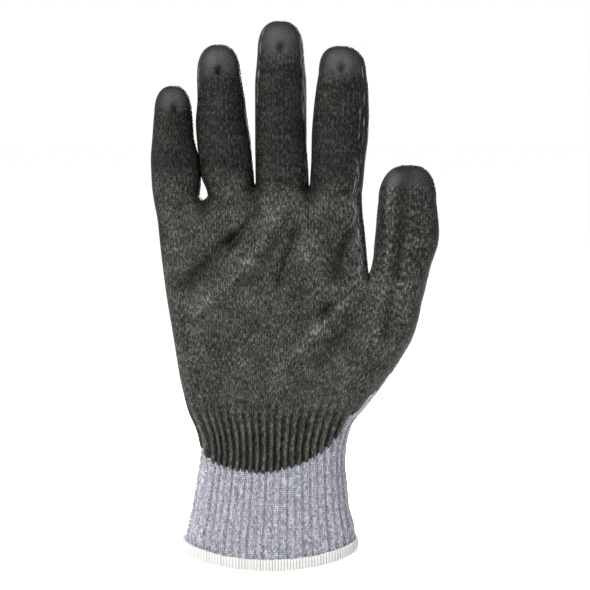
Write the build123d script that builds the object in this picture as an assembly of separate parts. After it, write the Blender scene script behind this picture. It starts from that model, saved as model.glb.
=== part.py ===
from build123d import *
import math
import os

os.makedirs("parts", exist_ok=True)

# Frame: +Z from the hem to the fingertips, -Y out of the palm, +X towards the thumb.
# z = 0 is the hem's lowest point and x = y = 0 the middle of the cuff's mouth. All in mm.

# overall sizes
glove_length = 250.0
palm_breadth = 96.0
palm_depth = 30.0
finger_depth = 19.6
cuff_depth = 48.0

# cloth
liner_thickness = 1.2
coat_thickness = 0.4
cuff_thickness = 1.8
coat_wrap = 3.0
joint_gap = 0.3

# cuff and hem
wrist_height = 56.0
hem_height = 5.4
hem_bow = 6.0
hem_proud = 0.5
elastic_rings = 8
elastic_size = 0.7

# bending, in degrees
knuckle_range = 75.0
middle_range = 76.0
end_ratio = 0.62
thumb_swing = 35.0
thumb_knuckle_range = 40.0
thumb_end_range = 60.0
wrist_range = 30.0

# The tables below are drawn for a glove 250 long and 96 broad, and are scaled to the sizes above.
kz = glove_length / 250.0
kx = palm_breadth / 96.0

# each finger: height, middle and width at its knuckle, middle joint, end joint and pad, then its tip
FINGERS = {
    "little": {
        "stations": [(169, -42.5, 21.6), (189, -43.4, 21.4), (204, -43.9, 18.4), (211, -43.7, 16.9)],
        "tip": (221, -43.3),
        "depth": 0.90,
    },
    "ring": {
        "stations": [(172, -18.5, 22.2), (192, -20.6, 23.4), (214, -22.2, 21.4), (226, -23.1, 19.9)],
        "tip": (239.5, -22.8),
        "depth": 0.97,
    },
    "middle": {
        "stations": [(174, 5.4, 23.6), (200, 4.9, 23.2), (226, 4.8, 22.4), (236, 4.9, 20.8)],
        "tip": (250, 5.0),
        "depth": 1.00,
    },
    "index": {
        "stations": [(174, 30.0, 23.6), (197, 31.3, 25.4), (218, 32.5, 23.8), (228, 32.6, 21.0)],
        "tip": (239, 32.4),
        "depth": 1.00,
    },
}

# thumb: height, left edge, right edge and depth as a share of the finger depth
THUMB = [
    (74, 28.0, 41.5, 1.25),
    (83, 33.0, 49.8, 1.40),
    (94, 37.5, 57.0, 1.40),
    (105, 42.0, 63.6, 1.32),
    (116, 44.6, 67.6, 1.22),
    (134, 45.6, 71.8, 1.10),
    (149, 47.8, 76.1, 1.06),
    (160, 48.8, 76.0, 1.02),
    (168, 49.8, 75.0, 0.98),
]
thumb_tip = (184, 63.6)
thumb_knuckle_height = 139
thumb_end_height = 157
thumb_seam = 45.0

# palm: height, left edge, right edge and depth as a share of the palm depth
PALM = [
    (50, -32.8, 33.7, 1.38),
    (56, -32.2, 34.2, 1.34),
    (67, -34.6, 36.4, 1.26),
    (78, -38.6, 42.6, 1.20),
    (90, -41.2, 44.8, 1.16),
    (105, -43.7, 45.0, 1.12),
    (127, -47.3, 45.0, 1.06),
    (149, -50.2, 43.4, 0.92),
    (164, -52.2, 41.8, 0.76),
    (180, -53.6, 41.9, 0.66),
]

# cuff: height, left edge, right edge and depth as a share of the cuff depth
CUFF = [
    (-4, -41.2, 41.6, 1.06),
    (6, -40.0, 40.4, 1.02),
    (18, -38.3, 38.6, 0.97),
    (30, -35.8, 35.9, 0.91),
    (44, -33.4, 34.1, 0.86),
    (56, -32.2, 34.2, 0.8375),
    (62, -33.0, 35.0, 0.82),
]

ROUND = 2.2
FLAT = 2.6
POINTS = 12
DOME = (0.45, 0.72, 0.88, 0.96)
reach = 400.0
gap = joint_gap / 2


def oval(z, left, right, half_depth, power, inset):
    """Closed wire at height z: a superellipse between two side edges, drawn in by inset."""
    middle = (left + right) / 2
    a = (right - left) / 2 - inset
    b = half_depth - inset
    points = []
    for i in range(POINTS):
        t = 2 * math.pi * i / POINTS
        c, s = math.cos(t), math.sin(t)
        x = middle + a * math.copysign(abs(c) ** (2 / power), c)
        y = b * math.copysign(abs(s) ** (2 / power), s)
        points.append((x, y, z))
    return Wire([Edge.make_spline(points, periodic=True)])


def digit_solid(rows, tip, power, inset):
    """Loft through rows (z, left, right, half depth), closed by a dome that ends at the tip."""
    wires = [oval(z, l, r, b, power, inset) for z, l, r, b in rows]
    z, l, r, b = rows[-1]
    top, tip_x = tip
    rise = top - inset - z
    for f in DOME:
        k = (1 - f**2.5) ** 0.4
        middle = (l + r) / 2 * (1 - f) + tip_x * f
        half = ((r - l) / 2 - inset) * k
        wires.append(oval(z + rise * f, middle - half, middle + half, (b - inset) * k, power, 0))
    wires.append(Vertex(tip_x, 0, z + rise))
    return Solid.make_loft(wires, ruled=True)


def tube_solid(rows, power, inset):
    """Loft through rows (z, left, right, half depth), flat at both ends."""
    return Solid.make_loft([oval(z, l, r, b, power, inset) for z, l, r, b in rows], ruled=True)


def prism(outline, low_x=-reach, high_x=reach):
    """Solid swept along X from an outline of (y, z) points."""
    wire = Polyline(*[(low_x, y, z) for y, z in outline], close=True)
    return extrude(make_face(wire), amount=high_x - low_x, dir=(1, 0, 0))


def slope(degrees):
    return math.tan(math.radians(degrees / 2 + 0.6))


def between(low, high, low_bend, high_bend, depth):
    """Outline of a segment between two hinges, cut back on the palm side by half of each bend."""
    outline = []
    if low is None:
        outline += [(depth, -reach), (-depth, -reach)]
    else:
        base = low + gap
        outline += [(depth, base), (0, base), (-depth, base + depth * slope(low_bend))]
    if high is None:
        outline += [(-depth, reach), (depth, reach)]
    else:
        top = high - gap
        outline += [(-depth, top - depth * slope(high_bend)), (0, top), (depth, top)]
    return outline


def fold(height, bend, depth):
    """Outline of the palm-side wedge between two segments, clear of the upper one."""
    k = slope(bend)
    lift = joint_gap * math.hypot(1, k)
    start = (lift - 2 * gap) / (2 * k) + 0.05
    return [
        (-start, height - gap - start * k),
        (-depth, height - gap - depth * k),
        (-depth, height + gap + depth * k - lift),
    ]


def layers(maker):
    """The coat's outside, the liner's outside and the hollow, for one maker of inset."""
    return maker(0), maker(coat_thickness), maker(coat_thickness + liner_thickness)


def keep(shape, *tools):
    """What the shape shares with every tool, as separate solids."""
    for tool in tools:
        shape = shape & tool
    return shape


def save(name, shape):
    solids = [s for s in shape.solids() if s.volume > 0.5]
    whole = solids[0] if len(solids) == 1 else Compound(children=solids, label=name)
    export_step(whole, f"parts/{name}.step")
    print(name, len(solids), round(sum(s.volume for s in solids), 1))


front_half = Box(reach, reach, reach * 2, align=(Align.CENTER, Align.MAX, Align.CENTER))
coat_side = front_half.moved(Location((0, coat_wrap, 0)))

# digits
finger_rows = {}
for name, data in FINGERS.items():
    half = finger_depth / 2 * data["depth"]
    rows = []
    for i, (z, x, w) in enumerate(data["stations"]):
        rows.append((z * kz, (x - w / 2) * kx, (x + w / 2) * kx, half * (1.04 - 0.045 * i)))
    z, l, r, b = rows[0]
    rows.insert(0, (z - 16 * kz, l, r, b))
    finger_rows[name] = rows

thumb_rows = [(z * kz, l * kx, r * kx, finger_depth / 2 * d) for z, l, r, d in THUMB]
palm_rows = [(z * kz, l * kx, r * kx, palm_depth / 2 * d) for z, l, r, d in PALM]
palm_coat, palm_liner, palm_hollow = layers(lambda inset: tube_solid(palm_rows, FLAT, inset))
thumb_coat, thumb_liner, thumb_hollow = layers(
    lambda inset: digit_solid(thumb_rows, (thumb_tip[0] * kz, thumb_tip[1] * kx), ROUND, inset)
)

# palm: a column under each finger, open to the thumb
edges = []
names = list(FINGERS)
for i, name in enumerate(names):
    rows = finger_rows[name]
    low = -reach if i == 0 else (finger_rows[names[i - 1]][1][2] + rows[1][1]) / 2
    high = reach if i == len(names) - 1 else (rows[1][2] + finger_rows[names[i + 1]][1][1]) / 2
    edges.append((low, high))
deep = palm_depth * 0.75
wrist_z = wrist_height * kz
palm_liner_shell = palm_liner - palm_hollow - thumb_hollow
palm_coat_shell = (palm_coat - palm_liner - thumb_liner) & coat_side
palm_skin = palm_coat - palm_hollow
above = []
for side in (1, -1):
    outline = [(0, wrist_z + gap), (0, reach), (side * deep * 2, reach)]
    outline.append((side * deep * 2, wrist_z + gap + deep * 2 * slope(wrist_range)))
    above.append(prism(outline))
above_wrist = above[0] + above[1]
columns = None
for name, (low, high) in zip(names, edges):
    column = prism(between(None, finger_rows[name][1][0], 0, knuckle_range, deep), low, high)
    columns = column if columns is None else columns + column
save("liner_palm", keep(palm_liner_shell, above_wrist, columns))
save("coat_palm", keep(palm_coat_shell, above_wrist, columns))

# fingers
for name, (low, high) in zip(names, edges):
    rows = finger_rows[name]
    tip = (FINGERS[name]["tip"][0] * kz, FINGERS[name]["tip"][1] * kx)
    outside, under, hollow = layers(lambda inset: digit_solid(rows, tip, ROUND, inset))
    liner = under - hollow
    coat = (outside - under) & coat_side
    skin = outside - hollow
    knuckle, middle, end = [rows[i][0] for i in (1, 2, 3)]
    bends = (knuckle_range, middle_range, middle_range * end_ratio)
    deep_f = finger_depth * 0.62
    parts = {
        "proximal": between(knuckle, middle, bends[0], bends[1], deep_f),
        "middle": between(middle, end, bends[1], bends[2], deep_f),
        "distal": between(end, None, bends[2], 0, deep_f),
    }
    for part, outline in parts.items():
        save(f"liner_{name}_{part}", liner & prism(outline))
        save(f"coat_{name}_{part}", coat & prism(outline))
    save(f"crease_{name}_middle", skin & prism(fold(middle, bends[1], deep_f)))
    save(f"crease_{name}_end", skin & prism(fold(end, bends[2], deep_f)))
    start, low_end, high_end = fold(knuckle, bends[0], deep)
    k = slope(bends[0])
    level = start[0] - (knuckle - start[1]) / k
    lower = [start, low_end, (-deep, knuckle), (level, knuckle)]
    upper = [(level, knuckle), (-deep, knuckle), high_end]
    joined = (palm_skin & prism(lower, low + gap, high - gap)).solids()
    joined += (skin & prism(upper)).solids()
    save(f"crease_{name}_knuckle", Compound(children=joined))

# thumb, cut back on the palm side by its whole swing about the seam
palm_clear = tube_solid(palm_rows, FLAT, -joint_gap)
seam = thumb_seam * kx
lean = math.tan(math.radians(thumb_swing + 1))


def seam_wedge(start):
    """Everything beside the seam on the palm side that the thumb's root would swing into."""
    corners = [(-reach, 0.5), (start, 0.5), (start, 0), (start + 40 * lean, -40), (-reach, -40)]
    wire = Polyline(*[(x, y, 0) for x, y in corners], close=True)
    return extrude(make_face(wire), amount=reach, dir=(0, 0, 1))


behind_seam = seam_wedge(seam + gap)
seam_strip = seam_wedge(seam - gap * 1.5)
thumb_shell = (thumb_liner - thumb_hollow) - palm_clear - behind_seam
thumb_film = ((thumb_coat - thumb_liner) & coat_side) - palm_clear - behind_seam
thumb_skin = thumb_coat - thumb_hollow
knuckle = thumb_knuckle_height * kz
end = thumb_end_height * kz
deep_t = finger_depth * 0.74
parts = {
    "base": between(None, knuckle, 0, thumb_knuckle_range, deep_t),
    "proximal": between(knuckle, end, thumb_knuckle_range, thumb_end_range, deep_t),
    "distal": between(end, None, thumb_end_range, 0, deep_t),
}
for part, outline in parts.items():
    save(f"liner_thumb_{part}", thumb_shell & prism(outline))
    save(f"coat_thumb_{part}", thumb_film & prism(outline))
clear_skin = thumb_skin - palm_clear - behind_seam
save("crease_thumb_knuckle", clear_skin & prism(fold(knuckle, thumb_knuckle_range, deep_t)))
save("crease_thumb_end", thumb_skin & prism(fold(end, thumb_end_range, deep_t)))
seam_outline = between(None, knuckle, 0, thumb_knuckle_range, deep_t)
save("crease_thumb_base", ((thumb_skin & seam_strip) - palm_coat) & prism(seam_outline))

# cuff, bowed along its hem
cuff_rows = [(z * kz, l * kx, r * kx, cuff_depth / 2 * d) for z, l, r, d in CUFF]
cuff_out = tube_solid(cuff_rows, ROUND, 0)
cuff_in = tube_solid(cuff_rows, ROUND, cuff_thickness)
hem_out = tube_solid(cuff_rows, ROUND, -hem_proud)
half_mouth = 40 * kx
bow_radius = (half_mouth**2 + hem_bow**2) / (2 * hem_bow)


def over_bow(lift):
    """Everything above the hem's bowed line, raised by lift."""
    disc = Cylinder(bow_radius, reach, rotation=(90, 0, 0))
    return disc.moved(Location((0, 0, bow_radius + lift)))


under = []
for side in (1, -1):
    outline = [(0, wrist_z - gap), (0, -reach), (side * deep * 2, -reach)]
    outline.append((side * deep * 2, wrist_z - gap - deep * 2 * slope(wrist_range)))
    under.append(prism(outline))
below_wrist = under[0] + under[1]
save("cuff_rib", keep(cuff_out - cuff_in, over_bow(hem_height), below_wrist))
save("hem_overlock", keep(hem_out - cuff_in, over_bow(0)) - over_bow(hem_height))
rings = []
lowest = hem_height + 8
highest = wrist_z - 14
for i in range(elastic_rings):
    z = lowest + (highest - lowest) * i / (elastic_rings - 1)
    band = Box(reach, reach, elastic_size).moved(Location((0, 0, z)))
    rings.append((cuff_in - tube_solid(cuff_rows, ROUND, cuff_thickness + elastic_size)) & band)
save("cuff_elastic", Compound(children=[s for r in rings for s in r.solids()]))
start, low_end, high_end = fold(wrist_z, wrist_range, deep * 2)
level = start[0] - (wrist_z - start[1]) / slope(wrist_range)
wedges = []
for side in (1, -1):
    lower = [start, low_end, (low_end[0], wrist_z), (level, wrist_z)]
    upper = [(level, wrist_z), (high_end[0], wrist_z), high_end]
    wedges += ((cuff_out - cuff_in) & prism([(-y * side, z) for y, z in lower])).solids()
    wedges += (palm_skin & prism([(-y * side, z) for y, z in upper])).solids()
save("crease_wrist", Compound(children=wedges))
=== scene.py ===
"""Looks for the cut resistant glove: a right-hand knit with a dark coat on its palm side.

The whole glove is one ring grid that splits into five tubes. A column is a place around a ring,
counted in knitted wales, and a row is a height. Sizes are in millimetres until a mesh is made.
"""

import math

import bpy
import numpy as np
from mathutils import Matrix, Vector


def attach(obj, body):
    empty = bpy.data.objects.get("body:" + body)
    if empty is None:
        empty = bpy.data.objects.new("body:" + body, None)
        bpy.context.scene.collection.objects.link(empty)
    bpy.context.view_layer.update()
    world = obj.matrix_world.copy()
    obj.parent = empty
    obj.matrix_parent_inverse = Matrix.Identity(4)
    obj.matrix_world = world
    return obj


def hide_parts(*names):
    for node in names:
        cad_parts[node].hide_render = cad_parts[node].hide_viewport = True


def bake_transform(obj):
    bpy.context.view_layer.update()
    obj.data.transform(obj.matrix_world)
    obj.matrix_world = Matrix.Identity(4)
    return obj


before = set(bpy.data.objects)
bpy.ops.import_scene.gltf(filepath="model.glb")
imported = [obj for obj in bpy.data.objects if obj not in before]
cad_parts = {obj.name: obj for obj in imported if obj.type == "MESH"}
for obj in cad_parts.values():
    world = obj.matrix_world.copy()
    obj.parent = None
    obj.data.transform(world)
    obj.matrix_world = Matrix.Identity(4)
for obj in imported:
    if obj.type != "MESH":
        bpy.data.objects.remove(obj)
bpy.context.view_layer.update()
rng = np.random.default_rng(7)

MM = 0.001  # a millimetre in the scene's metres
WALES = 18  # wales on the front of one finger, and on its back
THUMB_WALES = 16  # wales on the front of the thumb, and on its back
PER_WALE = 5  # columns of points in a wale
TOTAL = 4 * WALES + THUMB_WALES  # wales across the front of the hand
RIBS = 24  # ribs across the front of the cuff
RIB = TOTAL / RIBS  # wales in a rib
SEAM_WALE = 63  # where the palm piece hands over to the thumb's root
ROW = 0.62  # height of a row of points
COURSE = 0.95  # height of a row of stitches
ROUND = 2.2  # superellipse power of a finger's section
FLAT = 2.6  # superellipse power of the palm's section

# heights
CUFF_TOP = 38.0
WRIST_TOP = 78.0
SPLIT = 134.0  # the single tube ends here and the five tubes start
WEB_FADE = 4.5  # below each web, where the sections change from palm to finger
WEB_OPENING = 2.0  # above each web, where the gap between fingers opens
RIB_FADE = (62.0, 24.0)  # where the ribs start to fade, and how far above that they are gone

# coat
COAT = 0.35  # thickness seen at the coat's edge
COAT_WRAP = 2.6  # how far behind the outline the coat comes round a side
WEB_WRAP = 8.0  # how much further it comes at a web
WEB_SPREAD = 5.0  # how far from the web that is felt
TIP_WRAP = 5.0  # height of the coat's cap over a tip, seen from behind
BACK_START = 76.0  # below this the coat stays in front of the outline
SMOOTH_TIP = 22.0  # height of the smooth coat at a tip, where nothing else is said

# cuff, elastic and hem
CUFF_WALL = 1.5
ELASTIC_TURNS = 8
ELASTIC_LOW = 13.4  # height of the first turn
ELASTIC_PITCH = 3.2
ELASTIC_INSET = 2.1  # from the cuff's outline to the thread's middle
ELASTIC_RADIUS = 0.35
THREAD_SIDES = 8
HEM = 5.4  # height of the hem
HEM_RISE = 3.3  # height of the hem's lowest point
HEM_LEVEL = 7.0  # the cuff's outline at this height carries the hem
HEM_HALF = 1.35  # half thickness of the hem
HEM_LOOPS = 156
PER_LOOP = 8  # points along the hem in each loop
HEM_SIDES = 20
HEM_GAPS = 0.13  # chance that a loop is pulled thin
BOW = 6.0  # how much the hem's ends rise above its middle
BOW_HALF = 40.0  # half the width over which it does

# colours
YARN_DARK = (0.043, 0.045, 0.058)
YARN_MID = (0.104, 0.106, 0.126)
YARN_LIGHT = (0.202, 0.205, 0.224)
INSIDE_DARK = (0.035, 0.037, 0.05)
INSIDE_MID = (0.11, 0.112, 0.135)
INSIDE_LIGHT = (0.24, 0.245, 0.265)
FILM = [(0.42, (0.0015, 0.0015, 0.0012)), (0.57, (0.0095, 0.0094, 0.0082)),
        (0.75, (0.044, 0.0436, 0.0395))]
TIP_FILM = [(0.3, (0.007, 0.0071, 0.0076)), (0.65, (0.03, 0.0302, 0.0325))]
DARK_TONE = (0.33, 0.33, 0.315, 1)  # factor on the film's colour at low tone: up the fingers, and painted shade
LIGHT_TONE = (1.5, 1.5, 1.48, 1)  # and at high tone: palm, tips, and painted light on fold ridges
# painted shade in the dimple of a fingertip
PAINTED_PIT_SHADE = (0.001, 0.001, 0.001, 1)
BARE_YARN = (0.08, 0.081, 0.085, 1)
HEM_WHITE = (0.19, 0.191, 0.182, 1)
HEM_SHADE = (0.075, 0.077, 0.083, 1)
ELASTIC_GREY = (0.25, 0.25, 0.25)
PAPER = (1.0, 1.0, 1.0)

# outlines seen from the front, as (height, x)
LEFT = [(0, -40.0), (18, -38.2), (29, -35.7), (40, -33.9), (48, -32.6), (56, -31.7), (62, -32.6),
        (67, -34.4), (72, -36.7), (78, -38.6), (90, -41.1), (105, -43.4), (127, -46.9),
        (149, -49.5), (160, -50.6), (170, -52.4), (182, -53.4)]
RIGHT = [(0, 39.6), (18, 38.8), (29, 36.1), (40, 35.2), (48, 34.4), (56, 34.8), (62, 36.0),
         (67, 38.0), (72.4, 42.2), (78, 46.6), (83, 50.4), (89, 54.4), (94, 57.6), (100, 61.3),
         (105, 64.1), (111, 66.3), (116, 67.6), (122, 68.7), (127, 70.0), (134, 71.5)]
PALM_RIGHT = [(0, 39.6), (18, 38.8), (29, 36.1), (40, 35.2), (48, 34.4), (56, 34.8), (62, 36.0),
              (67, 37.8), (72.4, 41.4), (78, 45.4), (86, 49.0), (94, 51.6), (105, 52.5),
              (116, 51.5), (124, 49.0), (130, 46.6), (134, 44.9), (138, 44.3), (149, 43.3),
              (156, 42.6), (165, 41.6), (171, 41.4), (182, 42.4)]
THUMB_LEFT = [(70, 22), (83, 27), (94, 30), (105, 32), (114, 34.5), (122, 38), (129, 42),
              (134, 44.9)]
THUMB_EDGE = [(0, 31), (40, 27.5), (56, 27), (67, 29.5), (78, 34), (90, 38.5), (105, 43), (120, 45),
              (134, 44.9)]
# half depths, as (height, depth)
PALM_DEPTH = [(0, 24.6), (18, 23.2), (30, 21.8), (44, 20.6), (56, 20.0), (67, 18.9), (78, 18.0),
              (90, 17.4), (105, 16.6), (127, 15.2), (149, 13.2), (164, 11.0), (180, 10.0)]
THUMB_DEPTH = [(66, 3.0), (72, 8.0), (78, 11.5), (83, 12.9), (94, 13.6), (105, 13.0), (116, 12.0),
               (134, 10.8), (149, 10.4), (160, 10.0), (168, 9.6)]

# edges seen from the front, the height where the dome starts, the tip (height, x), the height of
# the smooth coat at the tip, the depth as a share of FINGER_DEPTH, the heights of the webs on both
# sides and of the joints, and the dimple in the tip's coat: its (height, x) and the strength of
# the painted shade in it
FINGERS = {
    "little": {
        "left": [(160, -50.6), (170, -52.4), (176, -53.1), (187, -53.5), (198, -52.7), (209, -51.8),
                 (215, -51.0)],
        "right": [(165, -32.0), (172, -32.0), (176, -31.6), (181, -31.6), (187, -32.2), (193, -33.6),
                  (198, -34.6), (209, -35.2), (215, -35.9)],
        "dome": 208.0, "tip": (220.4, -43.4), "smooth_tip": 15.0, "depth": 0.9,
        "webs": (169.0, 169.0), "joints": (169.0, 189.0, 204.0),
        "dimple": (210.0, -42.0), "pit_shade": 0.45,
    },
    "ring": {
        "left": [(165, -27.6), (171, -27.8), (174, -28.5), (178, -30.2), (181, -31.1), (187, -31.6),
                 (193, -32.4), (204, -33.1), (215, -32.3), (226, -32.6)],
        "right": [(165, -7.0), (176, -7.3), (187, -8.2), (198, -9.1), (204, -10.0), (215, -11.4),
                  (226, -13.2)],
        "dome": 225.0, "tip": (238.9, -22.8), "smooth_tip": 19.0, "depth": 0.97,
        "webs": (169.0, 175.0), "joints": (172.0, 192.0, 214.0),
        "dimple": (227.0, -22.2), "pit_shade": 0.9,
    },
    "middle": {
        "left": [(165, -6.0), (176, -6.1), (198, -6.3), (220, -6.3), (231, -5.5), (240, -5.0)],
        "right": [(165, 17.2), (176, 17.3), (198, 16.4), (220, 16.4), (231, 15.6), (240, 15.2)],
        "dome": 236.0, "tip": (249.5, 5.0), "smooth_tip": 22.0, "depth": 1.0,
        "webs": (175.0, 174.4), "joints": (174.0, 200.0, 226.0),
        "dimple": (237.2, 5.3), "pit_shade": 1.1,
    },
    "index": {
        "left": [(165, 18.3), (176, 18.5), (187, 19.1), (198, 19.3), (209, 20.1), (220, 21.4),
                 (231, 23.1)],
        "right": [(149, 43.3), (156, 42.6), (165, 41.6), (171, 41.4), (176, 41.9), (187, 42.9),
                  (198, 44.2), (209, 44.6), (220, 44.2), (231, 42.9)],
        "dome": 226.0, "tip": (238.4, 32.4), "smooth_tip": 20.0, "depth": 1.0,
        "webs": (174.4, 174.4), "joints": (174.0, 197.0, 218.0),
        "dimple": (228.4, 32.6), "pit_shade": 0.5,
    },
}
NAMES = list(FINGERS)
FINGER_DEPTH = 10.0
# lines of bare yarn in the coat: lowest and highest height, wale, half width in wales, strength
STREAKS = {
    "palm": [(124, 150, 68.0, 4.0, 0.55)],
    "little": [],
    "ring": [(214, 238, WALES + 2.2, 1.3, 0.8)],
    "middle": [(206, 247, 2 * WALES + 2.6, 1.3, 0.75), (200, 247, 3 * WALES - 2.8, 1.3, 1.0),
               (172, 184, 3 * WALES - 2.4, 1.3, 0.9)],
    "index": [(184, 229, 4 * WALES - 3.6, 0.45, 0.85), (192, 226, 4 * WALES - 4.9, 0.4, 0.8),
              (130, 186, 4 * WALES - 4.2, 2.2, 0.8)],
    "thumb": [(120, 172, 4 * WALES + 5.0, 1.4, 0.45)],
}
THUMB = {
    "left": [(134, 44.9), (138, 46.4), (143.5, 47.4), (149, 47.8), (154, 48.3), (165, 49.2),
             (172, 50.2)],
    "right": [(134, 71.7), (138, 72.5), (143.5, 74.3), (149, 76.0), (154, 76.5), (165, 75.6),
              (172, 74.5)],
    "dome": 168.0, "tip": (185.0, 63.4), "smooth_tip": 15.0, "joints": (139.0, 157.0),
}
# the web under each gap between fingers: its height, its x, and its share of the palm below
GAPS = [(169.0, -29.75, 0.219), (175.0, -6.75, 0.465), (174.4, 17.8, 0.727)]

# soft folds across the palm: from, to, half width, height
FOLDS = [
    ((-31, 121), (-8, 143), 3.8, 3.4),
    ((-10, 141), (5, 163), 4.0, 3.0),
    ((-37, 131), (-17, 152), 3.4, -2.6),
    ((-17, 150), (-5, 164), 2.2, -2.2),
    ((4, 94), (23, 113), 3.8, 2.6),
    ((21, 111), (43, 131), 3.6, 3.0),
    ((10, 103), (26, 120), 3.0, -2.4),
    ((26, 119), (37, 127), 2.4, -2.0),
    ((25, 98), (38, 114), 3.2, -1.8),
    ((4, 130), (12, 155), 2.2, -1.9),
    ((17, 146), (22, 158), 5.0, 1.4),
    ((31, 138), (36, 152), 3.8, -2.6),
    ((-36, 150), (-40, 165), 3.0, -1.2),
    ((-29.7, 164), (-29.7, 168), 3.0, -1.6),
    ((-6.7, 170), (-6.7, 174), 3.0, -1.6),
    ((17.8, 169), (17.8, 173), 3.0, -1.6),
    ((30, 129), (41, 134), 3.6, 1.6),
    ((48, 108), (52, 134), 2.2, 1.2),
    ((53, 108), (57, 134), 2.4, -1.3),
    ((60, 112), (66, 134), 3.0, 0.6),
]
# where the coat starts above the cuff, as (x, height)
COAT_EDGE = [(-36, 64), (-32.5, 58.5), (-30.5, 55.5), (-28.5, 52.6), (-20.7, 49.2), (-10, 47.4),
             (-2.4, 47.0), (8, 49.0), (19.4, 53.2), (27.2, 58.8), (31, 63), (35, 69.5), (40, 74.5),
             (46, 80.5), (60, 96)]


def smooth(t):
    """Smoothstep: 0 below 0, 1 above 1, level at both."""
    t = np.clip(t, 0.0, 1.0)
    return t * t * (3 - 2 * t)


def mix(a, b, t):
    return a * (1 - t) + b * t


def curve(z, knots):
    """Cubic through the knots, with harmonic mean slopes at them, so that it never overshoots."""
    zs = np.array([k[0] for k in knots], float)
    vs = np.array([k[1] for k in knots], float)
    h = np.diff(zs)
    d = np.diff(vs) / h
    m = np.zeros(len(zs))
    both = d[:-1] * d[1:]
    m[1:-1] = np.where(both > 0, 2 * both / (d[:-1] + d[1:] + 1e-12 * (both <= 0)), 0.0)
    m[0], m[-1] = d[0], d[-1]
    z = np.clip(np.asarray(z, float), zs[0], zs[-1])
    i = np.clip(np.searchsorted(zs, z) - 1, 0, len(h) - 1)
    t = (z - zs[i]) / h[i]
    t2, t3 = t * t, t * t * t
    return ((2 * t3 - 3 * t2 + 1) * vs[i] + (t3 - 2 * t2 + t) * h[i] * m[i]
            + (3 * t2 - 2 * t3) * vs[i + 1] + (t3 - t2) * h[i] * m[i + 1])


def bulge(x, left, right, depth, power):
    """Half thickness of a superellipse of that power between two edges."""
    s = np.clip(np.abs((x - (left + right) / 2) / ((right - left) / 2)), 0, 1)
    return depth * (1 - s**power) ** (1 / power)


def hand_thickness(x, z):
    """Half thickness of palm and thumb root: the fourth-power sum of two superellipses."""
    palm = bulge(x, curve(z, LEFT), curve(z, PALM_RIGHT), curve(z, PALM_DEPTH), FLAT)
    depth = curve(z, THUMB_DEPTH) * smooth((z - 64) / 10)
    right = curve(z, RIGHT)
    thumb = bulge(x, curve(z, THUMB_LEFT), right, depth, ROUND)
    inside = (x > curve(z, THUMB_LEFT)) & (x < right)
    thumb = np.where(inside, thumb, 0.0)
    return (palm**4 + thumb**4) ** 0.25


def folds(x, z):
    """Sum of soft ridges: a bell across each line, faded at its ends."""
    total = np.zeros(np.broadcast(x, z).shape)
    for (x0, z0), (x1, z1), width, height in FOLDS:
        length = math.hypot(x1 - x0, z1 - z0)
        ux, uz = (x1 - x0) / length, (z1 - z0) / length
        along = (x - x0) * ux + (z - z0) * uz
        across = (x - x0) * uz - (z - z0) * ux
        over = np.maximum(np.maximum(-along, along - length), 0)
        total = total + height * np.exp(-((across / width) ** 2) - (over / (width * 1.3)) ** 2)
    return total


def waves(x, z, seed, scale):
    """Low soft unevenness: a few crossed sine waves with set phases."""
    r = np.random.default_rng(seed)
    total = np.zeros(np.broadcast(x, z).shape)
    for _ in range(7):
        kx, kz = r.normal(0, 1 / scale, 2)
        total = total + np.sin(kx * x + kz * z + r.uniform(0, 6.28))
    return total / 4


def boundary(j, z):
    """x of the line between finger j and j + 1 below their web."""
    web, x, share = GAPS[j]
    left, right = curve(z, LEFT), hand_right(z)
    return mix(left + (right - left) * share, x, smooth((z - 120) / (web - 120)))


def hand_right(z):
    """Right end of the finger columns: the index's edge above the split, the thumb's seam below."""
    return np.where(z >= SPLIT, curve(z, PALM_RIGHT), curve(z, THUMB_EDGE))


def spread(f, round_left, round_right):
    """Place of a column across a tube, -1 to 1: even where flat, cosine where it turns round."""
    low = -((1 - round_left) * (1 - 2 * f) + round_left * np.cos(np.pi * f))
    high = (1 - round_right) * (2 * f - 1) - round_right * np.cos(np.pi * f)
    return np.where(f < 0.5, low, high)


def web_share(z, web):
    """0 well below the web, 1 from the web up."""
    return np.clip((z - (web - WEB_FADE)) / WEB_FADE, 0, 1) ** 2


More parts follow.
